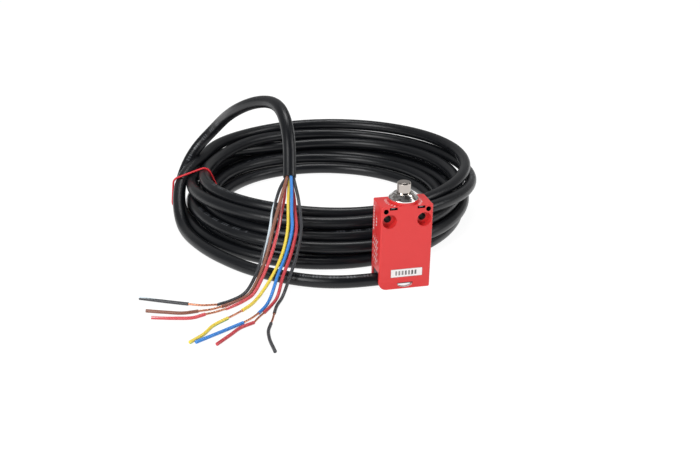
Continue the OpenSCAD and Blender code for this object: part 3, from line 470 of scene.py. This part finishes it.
# White marks, plain bars and strokes only: rows on the left face, and short strokes round the turret
on_left = near(split.outputs["X"], -15 * mm, 0.04 * mm)
long_row = both(both(near(split.outputs["Y"], 5.4 * mm, 0.9 * mm), near(split.outputs["Z"], 39 * mm, 7.5 * mm)),
                stripes(split.outputs["Z"], 1.7 * mm, 0.6))
short_row = both(both(near(split.outputs["Y"], 0.5 * mm, 0.9 * mm), near(split.outputs["Z"], 39 * mm, 3 * mm)),
                 stripes(split.outputs["Z"], 1.9 * mm, 0.5))
rising = add(tree, "ShaderNodeMath", {0: split.outputs["Z"], 1: 0.7, 2: split.outputs["Y"]},
             operation="MULTIPLY_ADD")
strokes = both(both(near(split.outputs["Y"], 1.2 * mm, 4.6 * mm), near(split.outputs["Z"], 21.5 * mm, 8.5 * mm)),
               both(stripes(rising.outputs[0], 2.7 * mm, 0.3), stripes(split.outputs["Z"], 3.7 * mm, 0.7)))
rail = both(near(split.outputs["Y"], -0.6 * mm, 0.3 * mm), near(split.outputs["Z"], 21 * mm, 7.5 * mm))
left_marks = both(on_left, either(either(long_row, short_row), either(strokes, rail)))
on_top = near(split.outputs["Z"], 50 * mm, 0.04 * mm)
turn = add(tree, "ShaderNodeMath", {0: split.outputs["Y"], 1: side.outputs[0]}, operation="ARCTAN2")
out = add(tree, "ShaderNodeVectorMath", {0: add(tree, "ShaderNodeCombineXYZ", {
    "X": split.outputs["X"], "Y": split.outputs["Y"]}).outputs[0]}, operation="LENGTH")
ticks = both(both(near(out.outputs["Value"], 9.9 * mm, 0.7 * mm), stripes(turn.outputs[0], 0.2, 0.35)),
             near(turn.outputs[0], -0.2, 0.65))
# White takes the print marks and the painted highlight on the lower wall of the strap slot
white = either(either(left_marks, slot_foot_highlight), both(on_top, ticks))
rubbed = add(tree, "ShaderNodeTexNoise", {"Vector": object_place, "Scale": 1500, "Detail": 2})
rubbed = add(tree, "ShaderNodeMapRange", {"Value": rubbed.outputs["Fac"], "From Min": 0.35, "From Max": 0.55,
                                          "To Min": 0.35, "To Max": 0.95})
white = both(white, rubbed.outputs["Result"])
# Red coat, with the bare zinc of the fixing holes darkened by painted shade
paint = add(tree, "ShaderNodeMix", {"Factor": screw_hole_zinc_and_shade, 6: linear("#de3636"), 7: linear("#4a3f3c")},
            data_type="RGBA")
# Near black painted shade in the small holes, the clip slots and the upper wall of the strap slot
paint = add(tree, "ShaderNodeMix", {"Factor": painted_shade, 6: paint.outputs[2], 7: linear("#160f0e")}, data_type="RGBA")
# Near white print marks, and the painted highlight on the lower wall of the strap slot
paint = add(tree, "ShaderNodeMix", {"Factor": white, 6: paint.outputs[2], 7: linear("#f3efee")}, data_type="RGBA")
tree.links.new(paint.outputs[2], shader.inputs["Base Color"])


def merged_copy(name, node, bevel=0.0, smooth=35):
    """Copy of a CAD node with its triangles joined and its flat faces made whole, with small rounded edges."""
    mesh = nodes[node].data.copy()
    mesh.name = name
    if "custom_normal" in mesh.attributes:
        mesh.attributes.remove(mesh.attributes["custom_normal"])
    shape = bmesh.new()
    shape.from_mesh(mesh)
    bmesh.ops.remove_doubles(shape, verts=shape.verts, dist=0.001 * mm)
    bmesh.ops.dissolve_limit(shape, angle_limit=np.radians(0.5), verts=shape.verts, edges=shape.edges)
    shape.to_mesh(mesh)
    shape.free()
    mesh.materials.clear()
    mesh.shade_smooth()
    mesh.set_sharp_from_angle(angle=np.radians(smooth))
    piece = bpy.data.objects.new(name, mesh)
    bpy.context.scene.collection.objects.link(piece)
    if bevel:
        rounding = piece.modifiers.new("rounding", "BEVEL")
        rounding.width = bevel
        rounding.segments = 3
        rounding.limit_method = "ANGLE"
        rounding.angle_limit = np.radians(40)
        rounding.use_clamp_overlap = True
        rounding.harden_normals = True
    return piece


body_piece = merged_copy("body_casting", "case", bevel=0.3 * mm)
body_piece.data.materials.append(red_coat)
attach(body_piece, "root")
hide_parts("case")

# Inner and small pieces. Their CAD shapes are right, so each only gets the finish of its own material.
finishes = {
    "black_cover": ("moulded_black_nylon", "#1d1e20", 0, (0.42, 0.55), 0.3, 0.03),
    "label_film": ("white_polyester_film", "#f4f4f2", 0, (0.28, 0.36), 0.5, 0.004),
    "chromed_head": ("chromed_zinc_casting", "#e4e1dd", 1, (0.08, 0.2), 1.3, 0.09),
    "clip_steel": ("zinc_plated_spring_steel", "#8d8f92", 1, (0.45, 0.6), 0.3, 0.01),
    "plunger_steel": ("ground_stainless_steel", "#c0b8b1", 1, (0.06, 0.12), 0.5, 0.002),
    "spring_steel": ("drawn_spring_steel", "#a9aaad", 1, (0.25, 0.38), 0.2, 0.01),
    "blackened_steel": ("oil_blackened_steel", "#3b3c3f", 1, (0.35, 0.5), 0.2, 0.01),
    "seal_rubber": ("moulded_nitrile_rubber", "#1b1b1c", 0, (0.5, 0.65), 0.25, 0.02),
    "block_plastic": ("moulded_cream_polyamide", "#e6ddc6", 0, (0.4, 0.52), 0.4, 0.02),
    "carrier_plastic": ("moulded_blue_polyacetal", "#2f5d9c", 0, (0.35, 0.45), 0.4, 0.02),
    "contact_brass": ("stamped_brass", "#cba560", 1, (0.22, 0.36), 0.3, 0.01),
    "resin": ("cast_black_epoxy", "#161618", 0, (0.12, 0.2), 1.5, 0.02),
    "gland_rubber": ("moulded_grey_rubber", "#38393c", 0, (0.5, 0.62), 0.3, 0.02),
    "plated_steel": ("zinc_plated_steel", "#c7cacc", 1, (0.24, 0.36), 0.3, 0.01)}
painted = {}
for slot_name, (name, colour, metal, gloss, size, depth) in finishes.items():
    painted[slot_name], tree, shader = material(name)
    grain(tree, shader, add(tree, "ShaderNodeTexCoord").outputs["Object"], size * mm, depth * mm, gloss)
    shader.inputs["Base Color"].default_value = linear(colour)
    shader.inputs["Metallic"].default_value = metal
# The head's base colour is mottled by noise into bright and dark patches: a painted reflection of a bright and dark
# room on the chrome
tree = painted["chromed_head"].node_tree
shader = tree.nodes["Principled BSDF"]
cast = add(tree, "ShaderNodeTexNoise", {"Vector": add(tree, "ShaderNodeTexCoord").outputs["Object"],
                                        "Scale": 1 / (2.2 * mm), "Detail": 1, "Distortion": 0.3})
painted_reflection = add(tree, "ShaderNodeMapRange", {"Value": cast.outputs["Fac"], "From Min": 0.44, "From Max": 0.56})
paint = add(tree, "ShaderNodeMix", {"Factor": painted_reflection.outputs["Result"], 6: linear("#a8a39d"), 7: linear("#f8f5f2")},
            data_type="RGBA")
tree.links.new(paint.outputs[2], shader.inputs["Base Color"])
# The label is a blank date label: a fine dark edge and a row of plain dark bars, each a little paler or darker
tree = painted["label_film"].node_tree
shader = tree.nodes["Principled BSDF"]
split = add(tree, "ShaderNodeSeparateXYZ", {"Vector": add(tree, "ShaderNodeTexCoord").outputs["Object"]})
inner = both(near(split.outputs["X"], 1 * mm, 9.1 * mm), near(split.outputs["Z"], 9.7 * mm, 2.3 * mm))
bars = both(both(near(split.outputs["X"], 1 * mm, 6.6 * mm), near(split.outputs["Z"], 9.7 * mm, 1.3 * mm)),
            stripes(split.outputs["X"], 1.9 * mm, 0.58))
which = add(tree, "ShaderNodeMath", {0: split.outputs["X"], 1: 1.9 * mm}, operation="DIVIDE")
which = add(tree, "ShaderNodeMath", {0: which.outputs[0]}, operation="FLOOR")
faded = add(tree, "ShaderNodeTexWhiteNoise", {"W": which.outputs[0]}, noise_dimensions="1D")
faded = add(tree, "ShaderNodeMapRange", {"Value": faded.outputs["Value"], "To Min": 0.7, "To Max": 0.95})
paint = add(tree, "ShaderNodeMix", {"Factor": inner, 6: linear("#a59a9a"), 7: linear("#f4f2f1")}, data_type="RGBA")
paint = add(tree, "ShaderNodeMix", {"Factor": both(bars, faded.outputs["Result"]), 6: paint.outputs[2],
                                    7: linear("#2c2c2e")}, data_type="RGBA")
tree.links.new(paint.outputs[2], shader.inputs["Base Color"])
for part in frame["record"]["subparts"]:
    if part["material_slot"] in painted:
        mesh = nodes[part["node"]].data
        mesh.materials.clear()
        mesh.materials.append(painted[part["material_slot"]])

# Head and plunger. The head is cast, turned and chromed, and the plunger is ground steel with a flat tip.
# Both show their round edges, so they stand for the CAD nodes as smooth copies.
for name, node, body, slot_name in (("head_casting", "head_body", "root", "chromed_head"),
                                    ("ground_plunger", "plunger", "plunger_body", "plunger_steel"),
                                    ("locking_clip", "head_clip", "root", "clip_steel"),
                                    ("rear_cover", "back_cover", "root", "black_cover")):
    piece = merged_copy(name, node, bevel=0.12 * mm)
    piece.data.materials.append(painted[slot_name])
    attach(piece, body)
    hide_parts(node)

# Return springs. Cold-wound steel wire, one under the plunger and one under the carrier of the bridges. Each stands on
# a fixed seat under the piece above it.
for name, node, joint in (("plunger_return_spring", "plunger_spring", "plunger_press"),
                          ("carrier_return_spring", "carrier_spring", "contact_travel")):
    piece = merged_copy(name, node, smooth=75)
    piece.data.materials.append(painted["spring_steel"])
    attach(piece, "root")
    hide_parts(node)
    foot, top = [side([corner[2] for corner in piece.bound_box]) for side in (min, max)]
    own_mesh(piece)

# Floor and light. A white table lit by large soft boxes, one above and behind and one at the front left.
floor_mesh = bpy.data.meshes.new("floor")
floor_half = 6
floor_mesh.from_pydata([(-floor_half, -floor_half, 0), (floor_half, -floor_half, 0), (floor_half, floor_half, 0),
                        (-floor_half, floor_half, 0)], [], [(0, 1, 2, 3)])
floor = bpy.data.objects.new("floor", floor_mesh)
bpy.context.scene.collection.objects.link(floor)
floor_paint, tree, shader = material("white_floor")
shader.inputs["Base Color"].default_value = linear("#f2f2f2")
shader.inputs["Roughness"].default_value = 0.9
rays = add(tree, "ShaderNodeLightPath")
seen = add(tree, "ShaderNodeMath", {0: rays.outputs["Is Camera Ray"], 1: rays.outputs["Is Glossy Ray"]}, operation="ADD")
seen = add(tree, "ShaderNodeMath", {0: seen.outputs[0], 1: rays.outputs["Is Transmission Ray"]}, operation="ADD",
           use_clamp=True)
seen = add(tree, "ShaderNodeMath", {0: seen.outputs[0], 1: 0.8}, operation="MULTIPLY")
white = add(tree, "ShaderNodeEmission", {"Color": linear("#ffffff"), "Strength": 1.14})
mixed = add(tree, "ShaderNodeMixShader", {0: seen.outputs[0], 1: shader.outputs[0], 2: white.outputs[0]})
tree.links.new(mixed.outputs[0], tree.nodes["Material Output"].inputs["Surface"])
floor_mesh.materials.append(floor_paint)

world = bpy.data.worlds.new("studio")
world.use_nodes = True
bpy.context.scene.world = world
tree = world.node_tree
tree.nodes.clear()
rays = add(tree, "ShaderNodeLightPath")
dim = add(tree, "ShaderNodeBackground", {"Color": linear("#ffffff"), "Strength": 0.35})
bright = add(tree, "ShaderNodeBackground", {"Color": linear("#ffffff"), "Strength": 1.0})
# Gloss shows a dim room towards the camera, and the white backdrop all round behind
way = add(tree, "ShaderNodeSeparateXYZ", {"Vector": add(tree, "ShaderNodeTexCoord").outputs["Generated"]})
room = add(tree, "ShaderNodeMapRange", {"Value": way.outputs["Y"], "From Min": -0.6, "From Max": 0.8,
                                        "To Min": 0.05, "To Max": 0.36})
around = add(tree, "ShaderNodeBackground", {"Color": linear("#ffffff"), "Strength": room.outputs["Result"]})
gloss = add(tree, "ShaderNodeMath", {0: rays.outputs["Is Glossy Ray"], 1: rays.outputs["Is Transmission Ray"]},
            operation="ADD", use_clamp=True)
mixed = add(tree, "ShaderNodeMixShader", {0: gloss.outputs[0], 1: dim.outputs[0], 2: around.outputs[0]})
mixed = add(tree, "ShaderNodeMixShader", {0: rays.outputs["Is Camera Ray"], 1: mixed.outputs[0], 2: bright.outputs[0]})
add(tree, "ShaderNodeOutputWorld", {"Surface": mixed.outputs[0]})


def softbox(name, place, aim, width, height, power):
    """Rectangular area lamp at a place, facing the aim."""
    lamp = bpy.data.lights.new(name, "AREA")
    lamp.shape = "RECTANGLE"
    lamp.size, lamp.size_y = width, height
    lamp.energy = power
    holder = bpy.data.objects.new(name, lamp)
    away = np.array(place, float) - np.array(aim, float)
    away /= np.linalg.norm(away)
    across = np.cross([0, 1, 0.001], away)
    across /= np.linalg.norm(across)
    axes = np.column_stack([across, np.cross(away, across), away, place])
    holder.matrix_world = Matrix(np.vstack([axes, [0, 0, 0, 1]]).tolist())
    bpy.context.scene.collection.objects.link(holder)


softbox("top_box", (0.1, 0.3, 1.0), (-0.02, 0.08, 0), 0.5, 0.3, 3.4)
softbox("front_box", (-0.8, -0.6, 0.6), (0, 0, 0.02), 0.6, 0.6, 9)
softbox("right_box", (0.9, -0.3, 0.6), (0, 0.05, 0.02), 0.5, 0.5, 3)
